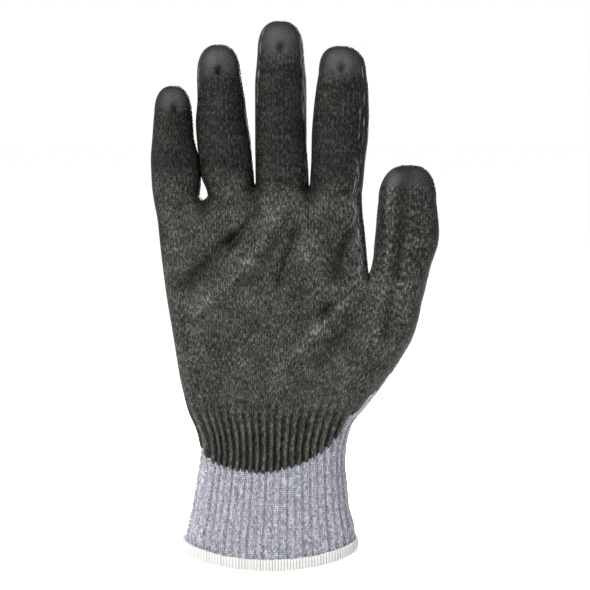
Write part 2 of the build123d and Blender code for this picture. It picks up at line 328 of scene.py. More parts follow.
def finger_half(name, z, f):
    """x and half thickness of one finger's front or back, for rows z and columns f."""
    data = FINGERS[name]
    j = NAMES.index(name)
    zc = np.minimum(z, data["dome"])
    left, right = curve(zc, data["left"]), curve(zc, data["right"])
    share = [web_share(z, data["webs"][0]), web_share(z, data["webs"][1])]
    turn = [smooth(share[0]), smooth(share[1])]
    if j > 0:
        open_up = np.sqrt(np.clip((z - data["webs"][0]) / WEB_OPENING, 0, 1))
        line = boundary(j - 1, np.minimum(z, data["webs"][0]))
        left = mix(line, left, open_up)
    else:
        left = np.where(z < data["dome"], curve(z, LEFT) * (z < 165) + left * (z >= 165), left)
        turn[0] = np.ones_like(turn[0])
    if j < 3:
        open_up = np.sqrt(np.clip((z - data["webs"][1]) / WEB_OPENING, 0, 1))
        line = boundary(j, np.minimum(z, data["webs"][1]))
        right = mix(line, right, open_up)
    else:
        right = np.where(z < 171, curve(z, PALM_RIGHT), right)
        turn[1] = np.ones_like(turn[1])
    first_joint, second_joint, third_joint = data["joints"]
    taper = [(160, 1.02), (first_joint, 1.02), (second_joint, 0.99), (third_joint, 0.95),
             (data["dome"] + 2, 0.92)]
    depth = FINGER_DEPTH * data["depth"] * curve(z, taper)
    rise = np.clip((z - data["dome"]) / (data["tip"][0] - data["dome"]), 0, 1)
    k = np.maximum(1 - rise**2.5, 0) ** 0.4
    middle = mix((left + right) / 2, data["tip"][1], rise**2)
    half = (right - left) / 2 * k
    s = spread(f, turn[0], turn[1])
    x = middle + half * s
    own = depth * k * (1 - np.minimum(np.abs(s), 1) ** ROUND) ** (1 / ROUND)
    palm = hand_thickness(x, np.minimum(z, 180))
    side = smooth(f)
    first, last = share
    if j == 0:
        first = last
    if j == 3:
        last = first
    w = mix(first, last, side)
    return x, mix(palm, own, w)


def thumb_half(z, f):
    """x and half thickness of the free thumb."""
    zc = np.minimum(z, THUMB["dome"])
    left, right = curve(zc, THUMB["left"]), curve(zc, THUMB["right"])
    rise = np.clip((z - THUMB["dome"]) / (THUMB["tip"][0] - THUMB["dome"]), 0, 1)
    k = np.maximum(1 - rise**2.5, 0) ** 0.4
    middle = mix((left + right) / 2, THUMB["tip"][1], rise**2)
    s = spread(f, np.ones_like(z), np.ones_like(z))
    x = middle + (right - left) / 2 * k * s
    own = curve(z, THUMB_DEPTH) * k * (1 - np.minimum(np.abs(s), 1) ** ROUND) ** (1 / ROUND)
    return x, own


def hand_half(z, q):
    """x and half thickness of the palm and thumb root, for rows z and wale numbers q."""
    parts = []
    for j in range(4):
        f = np.clip(q / WALES - j, 0, 1)
        left = curve(z, LEFT) if j == 0 else boundary(j - 1, z)
        right = hand_right(z) if j == 3 else boundary(j, z)
        turn_left = np.ones_like(z) if j == 0 else np.zeros_like(z)
        turn_right = smooth((z - 106) / 28) if j == 3 else np.zeros_like(z)
        s = spread(f, turn_left, turn_right)
        where = (q >= WALES * j) & (q <= WALES * (j + 1))
        parts.append(((left + right) / 2 + (right - left) / 2 * s, where))
    seam, edge = curve(z, THUMB_EDGE), curve(z, RIGHT)
    f = np.clip((q - 4 * WALES) / THUMB_WALES, 0, 1)
    turn = smooth((z - 106) / 28)
    g = mix(np.sin(np.pi * f / 2), (1 - np.cos(np.pi * f)) / 2, turn)
    x = seam + (edge - seam) * g
    for value, where in parts:
        x = np.where(where, value, x)
    return x, hand_thickness(x, z)


def normals(p):
    """Outward unit normals of a closed ring grid, from the differences along rows and columns."""
    across = np.roll(p, -1, 1) - np.roll(p, 1, 1)
    up = np.gradient(p, axis=0)
    n = np.cross(across, up)
    size = np.linalg.norm(n, axis=2, keepdims=True)
    return np.where(size > 1e-7, n / np.maximum(size, 1e-9), [0.0, 0.0, 1.0])


def rib_depth(z):
    """How much of the rib knit shows at a height: all in the cuff, none above the palm's heel."""
    return 1 - smooth((z - RIB_FADE[0]) / RIB_FADE[1])


def rib_valley(q):
    """1 between two ribs, 0 on top of a rib."""
    return np.abs(np.cos(np.pi * q / RIB)) ** 2


def knit_relief(q, z, coated):
    """Height of the knit: a round ridge for each wale, and below the palm one for each rib."""
    wale = np.abs(np.sin(np.pi * q)) ** 0.7
    rib = 1 - np.abs(np.cos(np.pi * q / RIB)) ** 4
    ribbed = rib_depth(z)
    fine = mix(0.2, 0.12, coated)
    uneven = 1 + 0.35 * np.sin(np.floor(q / RIB + 0.5) * 2.4)
    tall = mix(0.62 * uneven, 1.1, coated)
    return (wale - 0.6) * fine * (1 - 0.5 * ribbed) + (rib - 0.7) * tall * ribbed


def grid_mesh(name, p, n, q, keep, attributes, flip=False):
    """Mesh of the kept cells of a closed ring grid, welded where points meet, with given normals."""
    rows, cols = p.shape[:2]
    r, c = np.nonzero(keep)
    c2 = (c + 1) % cols
    quads = np.stack([r * cols + c, r * cols + c2, (r + 1) * cols + c2, (r + 1) * cols + c], -1)
    q = np.broadcast_to(q, (rows, cols))
    v = p[..., 2] / COURSE
    q_low = q[r, c]
    q_high = q_low + (q[0, 1] - q[0, 0])
    corner_uv = np.stack([q_low, v[r, c], q_high, v[r, c2],
                          q_high, v[r + 1, c2], q_low, v[r + 1, c]], -1).reshape(-1, 4, 2)
    flat = p.reshape(-1, 3)
    used = np.unique(quads)
    cells = np.round(flat[used] * 500)
    _, first, back = np.unique(cells, axis=0, return_index=True, return_inverse=True)
    new = np.zeros(len(flat), int)
    new[used] = back.ravel()
    chosen = used[first]
    faces = new[quads]
    if flip:
        faces, corner_uv = faces[:, ::-1], corner_uv[:, ::-1]
    same = faces == np.roll(faces, 1, 1)
    shapes, uvs = [], []
    for f, u, gone in zip(faces.tolist(), corner_uv.tolist(), same.tolist()):
        if not any(gone):
            shapes.append(f)
            uvs.extend(u)
        elif sum(gone) == 1:
            pick = [i for i in range(4) if not gone[i]]
            shapes.append([f[i] for i in pick])
            uvs.extend(u[i] for i in pick)
    mesh = bpy.data.meshes.new(name)
    mesh.from_pydata((flat[chosen] * MM).tolist(), [], shapes)
    layer = mesh.uv_layers.new(name="Knit")
    layer.data.foreach_set("uv", np.array(uvs, np.float32).ravel())
    for key, values in attributes.items():
        held = mesh.attributes.new(key, "FLOAT", "POINT")
        values = np.broadcast_to(values, (rows, cols)).reshape(-1)[chosen]
        held.data.foreach_set("value", values.astype(np.float32))
    mesh.polygons.foreach_set("use_smooth", np.ones(len(mesh.polygons), bool))
    mesh.update()
    sign = -1.0 if flip else 1.0
    mesh.normals_split_custom_set_from_vertices((n.reshape(-1, 3)[chosen] * sign).tolist())
    obj = bpy.data.objects.new(name, mesh)
    bpy.context.scene.collection.objects.link(obj)
    return obj


def place(obj, home, nodes, material):
    """Gives a piece its material, parents it to its body if it follows just one, else bakes its
    transform, and hides the CAD nodes it stands for.
    """
    obj.data.materials.append(material)
    if len(home) == 1:
        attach(obj, home[0])
    else:
        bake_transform(obj)
    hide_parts(*nodes)


# materials ---------------------------------------------------------------------------------


class Nodes:
    """Short names for adding and linking shader nodes."""

    def __init__(self, name):
        self.material = bpy.data.materials.new(name)
        self.material.use_nodes = True
        self.tree = self.material.node_tree
        self.shader = self.tree.nodes["Principled BSDF"]

    def add(self, kind, **values):
        node = self.tree.nodes.new(kind)
        for key, value in values.items():
            setattr(node, key, value)
        return node

    def math(self, operation, *inputs):
        node = self.add("ShaderNodeMath", operation=operation)
        for i, value in enumerate(inputs):
            self.feed(node.inputs[i], value)
        return node.outputs[0]

    def feed(self, socket, value):
        if isinstance(value, bpy.types.NodeSocket):
            self.tree.links.new(value, socket)
        else:
            socket.default_value = value

    def ramp(self, value, stops):
        node = self.add("ShaderNodeValToRGB")
        self.feed(node.inputs[0], value)
        ramp = node.color_ramp
        while len(ramp.elements) < len(stops):
            ramp.elements.new(0.5)
        for element, (position, colour) in zip(ramp.elements, stops):
            element.position = position
            element.color = (*colour, 1)
        return node.outputs[0]

    def blend(self, factor, a, b):
        node = self.add("ShaderNodeMix", data_type="RGBA")
        self.feed(node.inputs[0], factor)
        self.feed(node.inputs[6], a)
        self.feed(node.inputs[7], b)
        return node.outputs[2]

    def clamp(self, value, low, high):
        return self.math("MINIMUM", self.math("MAXIMUM", value, low), high)

    def attribute(self, key):
        return self.add("ShaderNodeAttribute", attribute_name=key).outputs["Fac"]

    def stretch(self, u, v, across, along):
        """The Knit map's point, stretched, as a vector for a noise."""
        vector = self.add("ShaderNodeCombineXYZ")
        self.feed(vector.inputs[0], self.math("MULTIPLY", u, across))
        self.feed(vector.inputs[1], self.math("MULTIPLY", v, along))
        return vector.outputs[0]

    def noise(self, vector, scale, detail=3.0, rough=0.6):
        node = self.add("ShaderNodeTexNoise")
        self.feed(node.inputs["Vector"], vector)
        node.inputs["Scale"].default_value = scale
        node.inputs["Detail"].default_value = detail
        node.inputs["Roughness"].default_value = rough
        return node.outputs["Fac"]

    def stitches(self):
        """(height of a knitted stitch, a random number for each stitch, u, v) from the Knit map."""
        uv = self.add("ShaderNodeUVMap", uv_map="Knit").outputs[0]
        split = self.add("ShaderNodeSeparateXYZ")
        self.feed(split.inputs[0], uv)
        u, v = split.outputs[0], split.outputs[1]
        across = self.math("ABSOLUTE", self.math("SUBTRACT", self.math("FRACT", u), 0.5))
        slant = self.math("ADD", v, self.math("MULTIPLY", across, 0.9))
        course = self.math("SINE", self.math("MULTIPLY", slant, 2 * math.pi))
        leg = self.math("FRACT", self.math("MULTIPLY", u, 2))
        leg = self.math("SINE", self.math("MULTIPLY", leg, math.pi))
        height = self.math("MULTIPLY", leg, self.math("MULTIPLY_ADD", course, 0.45, 0.55))
        cell = self.add("ShaderNodeCombineXYZ")
        self.feed(cell.inputs[0], self.math("FLOOR", self.math("MULTIPLY", u, 2)))
        self.feed(cell.inputs[1], self.math("FLOOR", slant))
        white = self.add("ShaderNodeTexWhiteNoise", noise_dimensions="2D")
        self.feed(white.inputs["Vector"], cell.outputs[0])
        return height, white.outputs["Value"], u, v

    def bump(self, height, strength, distance):
        node = self.add("ShaderNodeBump")
        node.inputs["Strength"].default_value = strength
        node.inputs["Distance"].default_value = distance
        self.feed(node.inputs["Height"], height)
        self.tree.links.new(node.outputs[0], self.shader.inputs["Normal"])


def knit_material(name, dark, mid, light, rough):
    """Melange yarn: each stitch takes its own tone, over a slow drift along the yarn, with painted
    shade between stitches and in rib valleys.
    """
    n = Nodes(name)
    height, pick, _, _ = n.stitches()
    where = n.add("ShaderNodeTexCoord").outputs["Object"]
    drift = n.noise(where, 420.0, 3.0, 0.7)
    shade = n.math("ADD", n.math("MULTIPLY", pick, 0.6), n.math("MULTIPLY", drift, 0.5))
    colour = n.ramp(shade, [(0.15, dark), (0.5, mid), (0.85, light)])
    # painted shade: the yarn darkens between the stitches' legs and in the valleys between ribs
    lit = n.math("ADD", n.math("MULTIPLY", height, 1.3), 0.4)
    lit = n.math("SUBTRACT", lit, n.math("MULTIPLY", n.attribute("valley"), 0.3))
    lit = n.clamp(lit, 0.0, 1.0)
    colour = n.blend(lit, tuple(c * 0.5 for c in dark) + (1,), colour)
    n.feed(n.shader.inputs["Base Color"], colour)
    n.shader.inputs["Roughness"].default_value = rough
    n.shader.inputs["Specular IOR Level"].default_value = 0.15
    n.shader.inputs["Sheen Weight"].default_value = 0.1
    n.shader.inputs["Sheen Roughness"].default_value = 0.5
    n.bump(height, 0.8, 0.0004)
    return n.material


def coat_material():
    """Thin film over the knit: near black, worn lighter in grains, smooth and greyer at the tips,
    with painted light and shade.
    """
    n = Nodes("polyurethane_coat")
    height, pick, u, v = n.stitches()
    where = n.add("ShaderNodeTexCoord").outputs["Object"]
    fine = n.noise(where, 2100.0, 2.0, 0.7)
    wide = n.noise(where, 110.0, 3.0, 0.6)
    patches = n.noise(where, 260.0, 3.0, 0.65)
    streak = n.noise(n.stretch(u, v, 2.3, 0.45), 1.0, 2.0, 0.6)
    tip, bare, valley, tone_and_shade = (n.attribute(key) for key in ("tip", "bare", "valley", "tone_and_shade"))
    grain = n.math("ADD", n.math("MULTIPLY", fine, 0.4), n.math("MULTIPLY", streak, 0.66))
    grain = n.math("ADD", n.math("SUBTRACT", grain, 0.13), n.math("MULTIPLY", pick, 0.12))
    grain = n.math("ADD", grain, n.math("MULTIPLY_ADD", wide, 0.26, -0.06))
    # painted light and shade: lighter on the stitches' tops, darker in the valleys between ribs
    grain = n.math("ADD", grain, n.math("MULTIPLY", height, 0.09))
    grain = n.math("SUBTRACT", grain, n.math("MULTIPLY", valley, 0.16))
    film = n.ramp(grain, FILM)
    smooth_tip = n.math("ADD", n.math("MULTIPLY", fine, 0.6), n.math("MULTIPLY", wide, 0.3))
    smooth_tip = n.ramp(smooth_tip, TIP_FILM)
    mottled = n.math("MULTIPLY_ADD", patches, 3.4, -1.95)
    mottled = n.clamp(n.math("ADD", n.math("MULTIPLY", tip, 1.5), mottled), 0.0, 0.92)
    at_tip = n.math("MINIMUM", n.math("MULTIPLY", tip, 3.0), 1.0)
    colour = n.blend(n.math("MULTIPLY", mottled, at_tip), film, smooth_tip)
    # scales the film's colour: darker up the fingers, painted shade at sides, webs and fold hollows,
    # painted light on fold ridges
    tone_factor = n.blend(tone_and_shade, DARK_TONE, LIGHT_TONE)
    tone = n.add("ShaderNodeMix", data_type="RGBA", blend_type="MULTIPLY")
    tone.inputs[0].default_value = 1.0
    n.feed(tone.inputs[6], colour)
    n.feed(tone.inputs[7], tone_factor)
    # painted shade: the dimple in each tip's coat turns near black
    pit_shade = n.clamp(n.math("MULTIPLY", valley, n.math("MULTIPLY", tip, 0.9)), 0.0, 0.9)
    colour = n.blend(pit_shade, tone.outputs[2], PAINTED_PIT_SHADE)
    line = n.noise(n.stretch(u, v, 2.6, 0.17), 1.0, 2.0, 0.6)
    yarn = n.math("ADD", n.math("MULTIPLY", bare, 0.38), n.math("MULTIPLY", line, 0.9))
    yarn = n.clamp(n.math("MULTIPLY_ADD", yarn, 7.0, -5.1), 0.0, 1.0)
    thin = n.math("MULTIPLY", yarn, n.math("MINIMUM", bare, 0.8))
    colour = n.blend(thin, colour, BARE_YARN)
    n.feed(n.shader.inputs["Base Color"], colour)
    n.shader.inputs["Roughness"].default_value = 0.5
    n.shader.inputs["Specular IOR Level"].default_value = 0.04
    relief = n.math("ADD", n.math("MULTIPLY", height, n.math("MULTIPLY_ADD", tip, -0.3, 0.45)),
                    n.math("MULTIPLY", fine, n.math("MULTIPLY_ADD", tip, -0.5, 0.9)))
    n.bump(relief, 0.7, 0.00035)
    return n.material


def hem_material():
    """White overlocking thread, with painted shade where the loops pinch and leave a gap."""
    n = Nodes("hem_yarn")
    where = n.add("ShaderNodeTexCoord").outputs["Object"]
    fine = n.noise(where, 1400.0, 2.0, 0.6)
    colour = n.blend(n.attribute("gap"), HEM_WHITE, HEM_SHADE)
    n.feed(n.shader.inputs["Base Color"], colour)
    n.shader.inputs["Roughness"].default_value = 0.75
    n.shader.inputs["Specular IOR Level"].default_value = 0.2
    n.bump(fine, 0.5, 0.0003)
    return n.material


def plain_material(name, colour, rough):
    n = Nodes(name)
    n.shader.inputs["Base Color"].default_value = (*colour, 1)
    n.shader.inputs["Roughness"].default_value = rough
    return n.material


coat_look = coat_material()
liner_look = knit_material("liner_knit", YARN_DARK, YARN_MID, YARN_LIGHT, 0.85)
cuff_look = knit_material("cuff_knit", YARN_DARK, YARN_MID, YARN_LIGHT, 0.85)
inside_look = knit_material("inside_knit", INSIDE_DARK, INSIDE_MID, INSIDE_LIGHT, 0.9)
hem_look = hem_material()
elastic_look = plain_material("elastic_yarn", ELASTIC_GREY, 0.6)


# surface ------------------------------------------------------------------------------------


def skin(x, y, z, q, tip_height, streaks, coat_low, pit_shade=0.0, tip_zone=SMOOTH_TIP, joined=()):
    """Final points, normals, coat mask and attributes of a ring grid, from its smooth x, y, z.

    joined lists end columns where two fingers still run on into each other: how free the column is in
    each row, its number, and the number of the column beside it, which lends it its normal.
    """
    p = np.stack(np.broadcast_arrays(x, y, z), -1).astype(float)
    n = normals(p)
    for free, end, inner in joined:
        lent = mix(n[:, inner], n[:, end], free)
        n[:, end] = lent / np.maximum(np.linalg.norm(lent, axis=1, keepdims=True), 1e-9)
    q = np.broadcast_to(q, p.shape[:2])
    sx, sy, sz = p[..., 0], p[..., 1], p[..., 2]
    jag = 0.4 * np.sin(q * 2.1 + 0.6) + 0.2 * np.sin(sz * 1.9) * np.sin(sz * 0.37 + 1)
    jag = jag + 0.25 * np.sin(q * 5.3 + sz * 0.9) + 0.3 * np.sin(sz * 0.21 + q * 0.1)
    wrap = COAT_WRAP + jag
    for web, web_x, _ in GAPS:
        near = -(((sx - web_x) / WEB_SPREAD) ** 2) - ((sz - web) / WEB_SPREAD) ** 2
        wrap = wrap + WEB_WRAP * np.exp(near)
    coated = (sy < wrap) | (sz > tip_height - TIP_WRAP + jag * 1.5)
    if coat_low:
        edge = curve(sx, COAT_EDGE) + 1.1 * rib_valley(q) + 0.35 * np.sin(q * 3.7)
        coated &= sz > edge
        back = BACK_START + 5 * np.sin(q * 0.23)
        coated &= (sy < -1.5) | (sz > back)
    soft = coated.astype(float)
    for _ in range(2):
        near = (np.roll(soft, 1, 1) + np.roll(soft, -1, 1)) / 2
        inner = (np.vstack([soft[:1], soft[:-1]]) + np.vstack([soft[1:], soft[-1:]])) / 2
        soft = soft * 0.4 + near * 0.3 + inner * 0.3
    lift = knit_relief(q, sz, coated) + COAT * soft * coated
    tip = smooth((sz - (tip_height - tip_zone)) / (tip_zone * 0.7)) * (sy < 5)
    lift = lift * (1 - 0.6 * tip * coated)
    p = p + n * lift[..., None]
    sx, sy, sz = p[..., 0], p[..., 1], p[..., 2]
    bare = np.zeros(coated.shape)
    for low, high, centre, width, strength in streaks:
        span = smooth((sz - low) / 8) * (1 - smooth((sz - high) / 8))
        bare = np.maximum(bare, strength * np.exp(-(((q - centre) / width) ** 2)) * span)
    # painted shade: darker in the valleys between ribs and in the dimple of a tip
    valley = rib_depth(sz) * (rib_valley(q) - 0.3) + pit_shade
    # lighter on the palm and at the tips, darker up the fingers; painted shade where the surface
    # turns sideways from the front
    aside = smooth((n[..., 1] + 0.95) / 0.45) * smooth((sz - 128) / 30)
    tone_and_shade = 0.56 * np.minimum(1 - smooth((sz - 166) / 22) + tip, 1) * (1 - 0.85 * aside)
    # painted light on the palm's fold ridges and painted shade in their hollows
    tone_and_shade = tone_and_shade + 0.16 * folds(sx, sz) * (sy < 0) * (1 - smooth((sz - 160) / 24))
    # painted shade under each web between the fingers
    for web, web_x, _ in GAPS:
        near = -(((sx - web_x) / 4.0) ** 2) - ((sz - web + 1.5) / 5.0) ** 2
        tone_and_shade = tone_and_shade - 0.6 * np.exp(near)
    final = normals(p)
    for free, end, _ in joined:
        final[:, end] = mix(n[:, end], final[:, end], free)
    attributes = {"tip": tip * coated, "bare": bare * coated, "valley": valley, "tone_and_shade": tone_and_shade}
    return p, final, coated, attributes


def add_pieces(stem, grid, q, rows, columns, home, nodes):
    """One coat piece and one liner piece from the rows and columns of a grid."""
    p, n, coated, attributes = grid
    nxt = np.roll(coated, -1, 1)
    count = coated[:-1].astype(int) + nxt[:-1] + coated[1:] + nxt[1:]
    wanted = np.zeros(count.shape, bool)
    wanted[rows[0] : rows[1]] = True
    wanted &= columns[None, :]
    for kind, keep, look in (("coat", count >= 2, coat_look), ("liner", count < 2, liner_look)):
        keep = keep & wanted
        if keep.any():
            obj = grid_mesh(f"{stem}_{kind}_knit", p, n, q, keep, attributes)
            place(obj, home, nodes[kind], look)


def stack_rows(cuts):
    """Heights that land on every cut, after one row below the first, and each cut's row number."""
    heights = [cuts[0] - ROW]
    marks = []
    for low, high in zip(cuts[:-1], cuts[1:]):
        marks.append(len(heights))
        count = max(3, int(round((high - low) / ROW)) + 1)
        heights.extend(np.linspace(low, high, count)[:-1])
    marks.append(len(heights))
    heights.append(cuts[-1])
    return heights, marks


def with_dome(heights, marks, dome, tip, count):
    """Rows that slow down towards the tip, so that the dome stays round."""
    turn = np.sin(np.linspace(0, np.pi / 2, count))[1:]
    rows = heights + list(dome + (tip - dome) * turn)
    return np.array(rows)[:, None], marks[:-1] + [len(rows) - 1]


def ring(half_x, front, back, back_x=None):
    """x and y around a closed ring from its front half and its back half."""
    back_x = half_x if back_x is None else back_x
    return (np.concatenate([half_x, back_x[:, -2:0:-1]], 1),
            np.concatenate([-front, back[:, -2:0:-1]], 1))


def stretched(f, number, left_free, right_free, z):
    """Columns of a finger's back, spread below its webs so that the inner ones reach its sides."""
    count = f.shape[1] - 1
    full = np.clip((f * count - 1) / (count - 2), 0, 1)
    left = (1 - smooth(left_free)) * (number > 0)
    right = (1 - smooth(right_free)) * (number < 3)
    return f + (full - f) * mix(left, right, f) * smooth((z - SPLIT) / 3)


def columns_of(wales):
    """Wale numbers of the columns across a number of wales, from 0."""
    return np.arange(wales * PER_WALE + 1) / PER_WALE


def ring_wales(first, f):
    """Wale numbers around a ring whose front starts at wale `first`: the back counts on, mirrored."""
    return np.concatenate([first + f, 2 * TOTAL - first - f[-2:0:-1]])[None, :]


# wrist, palm and thumb root ------------------------------------------------------------------
f_hand = columns_of(TOTAL)
q_hand = ring_wales(0, f_hand)


def palm_extra(x, z, h):
    """Folds and unevenness of the palm side, level at the outline."""
    edge = np.clip(h / 7.0, 0, 1) ** 1.3
    return (folds(x, z) + 0.3 * waves(x, z, 3, 9.0)) * edge * smooth((z - 62) / 20)


def back_extra(x, z, h):
    """Unevenness of the back, level at the outline."""
    return 0.3 * waves(x, z, 11, 14.0) * np.clip(h / 7.0, 0, 1) ** 1.3


heights, marks = stack_rows([CUFF_TOP, WRIST_TOP, SPLIT])
z = np.array(heights + [SPLIT + ROW])[:, None]
x, h = hand_half(z, f_hand[None, :])
x_ring, y_ring = ring(x, h + palm_extra(x, z, h), h + back_extra(x, z, h))
no_tip = 400.0  # a tip height far above the hand
hand = skin(x_ring, y_ring, z + 0 * x_ring, q_hand, no_tip, STREAKS["palm"], True)
mirror = np.where(q_hand[0] <= TOTAL, q_hand[0], 2 * TOTAL - q_hand[0])
thumb_cells = (mirror >= SEAM_WALE) & np.roll(mirror >= SEAM_WALE, -1)
every = np.ones(q_hand.shape[1], bool)
add_pieces("wrist", hand, q_hand, (marks[0], marks[1]), every,
           ("cuff", "palm", (0, 0, 42), (0, 0, 73)),
           {"coat": ["coat_palm"], "liner": ["crease_wrist"]})
add_pieces("palm", hand, q_hand, (marks[1], marks[2]), ~thumb_cells, ("palm",),
           {"coat": ["coat_palm"], "liner": ["liner_palm"]})
add_pieces("thumb_root", hand, q_hand, (marks[1], marks[2]), thumb_cells,
           ("palm", "thumb_base", (40, 0, SPLIT), (45.3, 0, SPLIT + 0.52)),
           {"coat": ["coat_thumb_base", "crease_thumb_base"], "liner": ["liner_thumb_base"]})

# fingers -------------------------------------------------------------------------------------
f_finger = columns_of(WALES)
for number, name in enumerate(NAMES):
    data = FINGERS[name]
    knuckle, middle, end = data["joints"]
    m1, m2 = (knuckle + middle) / 2, (middle + end) / 2
    dome, tip = data["dome"], data["tip"][0]
    q = ring_wales(number * WALES, f_finger)
    heights, marks = stack_rows([SPLIT, m1, m2, dome])
    z, marks = with_dome(heights, marks, dome, tip, 24)
    x, h = finger_half(name, z, f_finger[None, :] / WALES)
    edge = np.clip(h / 5.0, 0, 1) ** 1.5
    tz, tx = data["dimple"]
    spot = ((x - tx) / 1.7) ** 2 + ((z - tz) / 2.1) ** 2
    extra = -2.0 * np.exp(-spot) + 0.6 * np.exp(-spot / 8)
    for height, depth in ((middle, 0.4), (end, 0.25), (knuckle + 3, 0.35)):
        extra = extra - depth * np.exp(-(((z - height - 0.05 * (x - tx)) / 1.6) ** 2))
    if name == "ring":
        line = z - (187.5 - 0.32 * (x + 28))
        wrinkle = 0.6 * np.exp(-((line / 0.9) ** 2)) - 0.5 * np.exp(-(((line - 2) / 1.2) ** 2))
        extra = extra + wrinkle * smooth((x + 31) / 3) * (1 - smooth((x + 20) / 4))
    extra = (extra + 0.22 * waves(x, z, 20 + number, 5.0)) * edge * smooth((z - 140) / 25)
    fade = 1 - smooth((z - 150) / 26)
    front = h + extra + palm_extra(x, z, h) * fade
    free = [web_share(z, web) for web in data["webs"]]
    back_f = stretched(f_finger[None, :] / WALES, number, free[0], free[1], z)
    back_x, back_h = finger_half(name, z, back_f)
    back_edge = np.clip(back_h / 5.0, 0, 1) ** 1.5
    back = back_h + back_extra(back_x, z, back_h) * fade
    back = back + 0.15 * waves(back_x, z, 40 + number, 6.0) * back_edge * (1 - fade)
    side = x.shape[1] - 1
    joined = [(free[0], 0, 1), (free[0], -1, -2)] if number > 0 else []
    joined += [(free[1], side, side - 1), (free[1], side + 1, side + 2)] if number < 3 else []
    x_ring, y_ring = ring(x, front, back, back_x)
    # painted shade in the tip's dimple
    pit_shade = np.zeros(x_ring.shape)
    pit_shade[:, : x.shape[1]] = data["pit_shade"] * np.exp(-spot * 0.9)
    grid = skin(x_ring, y_ring, z + 0 * x_ring, q, tip, STREAKS[name], False, pit_shade,
                data["smooth_tip"], joined)
    every = np.ones(x_ring.shape[1], bool)
    bodies = ["palm"] + [f"{name}_{part}" for part in ("proximal", "middle", "distal")]
    spans = [(2 * knuckle - m1 + 4, m1), (m1, m2), (m2, 2 * end - m2)]
    parts = [("knuckle", "proximal"), ("middle", "middle"), ("end", "distal")]
    for k, (part, node) in enumerate(parts):
        home = (bodies[k], bodies[k + 1], (0, 0, spans[k][0]), (0, 0, spans[k][1]))
        stands_for = {"coat": [f"coat_{name}_{node}", f"crease_{name}_{part}"],
                      "liner": [f"liner_{name}_{node}"]}
        add_pieces(f"{name}_{part}", grid, q, (marks[k], marks[k + 1]), every, home, stands_for)

# thumb ---------------------------------------------------------------------------------------
f_thumb = columns_of(THUMB_WALES)
q = ring_wales(4 * WALES, f_thumb)
first, last = THUMB["joints"]
middle = (first + last) / 2
heights, marks = stack_rows([SPLIT, middle, THUMB["dome"]])
z, marks = with_dome(heights, marks, THUMB["dome"], THUMB["tip"][0], 26)
x, h = thumb_half(z, f_thumb[None, :] / THUMB_WALES)
edge = np.clip(h / 6.0, 0, 1) ** 1.5
extra = 0.22 * waves(x, z, 31, 6.0) * edge * smooth((z - SPLIT) / 10)
extra = extra - 0.45 * np.exp(-(((z - 150 + 0.12 * (x - 62)) / 1.6) ** 2)) * edge
length = smooth((z - 128) / 10) * (1 - smooth((z - 168) / 10)) * edge
crest = np.exp(-(((x - 53.0) / 2.0) ** 2))
hollow = 1.1 * np.exp(-(((x - 59.5) / 2.6) ** 2))
extra = extra + length * (crest - hollow)
fade = 1 - smooth((z - SPLIT) / 10)
x_ring, y_ring = ring(x, h + extra + palm_extra(x, z, h) * fade, h + back_extra(x, z, h) * fade)
grid = skin(x_ring, y_ring, z + 0 * x_ring, q, THUMB["tip"][0], STREAKS["thumb"], False, 0.0,
            THUMB["smooth_tip"])
# the free thumb's coat is darker, with a painted highlight on its crest and painted shade in the
# hollow beside it
points, attributes = grid[0], grid[3]
across = points[..., 0] - 0.06 * (points[..., 2] - 150)
light = 0.3 * np.exp(-(((across - 53.0) / 2.2) ** 2))
painted_stripes = light - 0.45 * np.exp(-(((across - 59.0) / 3.0) ** 2))
free = 1 - fade
attributes["tone_and_shade"] = attributes["tone_and_shade"] * mix(1.0, 0.72, free) + painted_stripes * free * (points[..., 1] < 0)
every = np.ones(x_ring.shape[1], bool)
add_pieces("thumb_knuckle", grid, q, (marks[0], marks[1]), every,
           ("thumb_base", "thumb_proximal", (0, 0, SPLIT), (0, 0, middle)),
           {"coat": ["coat_thumb_proximal", "crease_thumb_knuckle"],
            "liner": ["liner_thumb_proximal"]})
add_pieces("thumb_end", grid, q, (marks[1], marks[2]), every,
           ("thumb_proximal", "thumb_distal", (0, 0, middle), (0, 0, 2 * last - middle)),
           {"coat": ["coat_thumb_distal", "crease_thumb_end"], "liner": ["liner_thumb_distal"]})

# cuff and its inside -------------------------------------------------------------------------


def bow(x):
    """Height of the hem's lower edge: an arc that rises by BOW at BOW_HALF to either side."""
    radius = (BOW_HALF**2 + BOW**2) / (2 * BOW)
    return HEM_RISE + radius - np.sqrt(radius**2 - np.clip(x, -60, 60) ** 2)


def cuff_outline(z):
    """x and y around the cuff for rows z."""
    x, h = hand_half(z, f_hand[None, :])
    return ring(x, h, h)


level = np.linspace(HEM - 1, CUFF_TOP + ROW, 60)
ox, oy = cuff_outline(level[:, None])
start = bow(ox[0]) + HEM - 0.8
share = np.linspace(0, 1, 60)[:, None]
z = start[None, :] + (CUFF_TOP - start[None, :]) * share
z = np.vstack([z, z[-1:] + ROW])
x, y = np.zeros(z.shape), np.zeros(z.shape)
for c in range(z.shape[1]):
    x[:, c] = np.interp(z[:, c], level, ox[:, c])
    y[:, c] = np.interp(z[:, c], level, oy[:, c])
p = np.stack([x, y, z], -1)
n = normals(p)
relief = knit_relief(q_hand, z, np.zeros(z.shape))[..., None]
outer = p + n * relief
keep = np.ones((z.shape[0] - 1, z.shape[1]), bool)
keep[-1] = False
cuff = grid_mesh("cuff_rib_knit", outer, normals(outer), q_hand, keep,
                 {"valley": rib_valley(q_hand) - 0.3})
place(cuff, ("cuff",), ["cuff_rib"], cuff_look)
inner = p - n * (CUFF_WALL + relief * 0.4)
# every second column is enough inside
lining = grid_mesh("cuff_inside_knit", inner[:, ::2], normals(inner)[:, ::2], q_hand[:, ::2],
                   keep[:, ::2], {}, True)
place(lining, ("cuff",), ["cuff_rib"], inside_look)

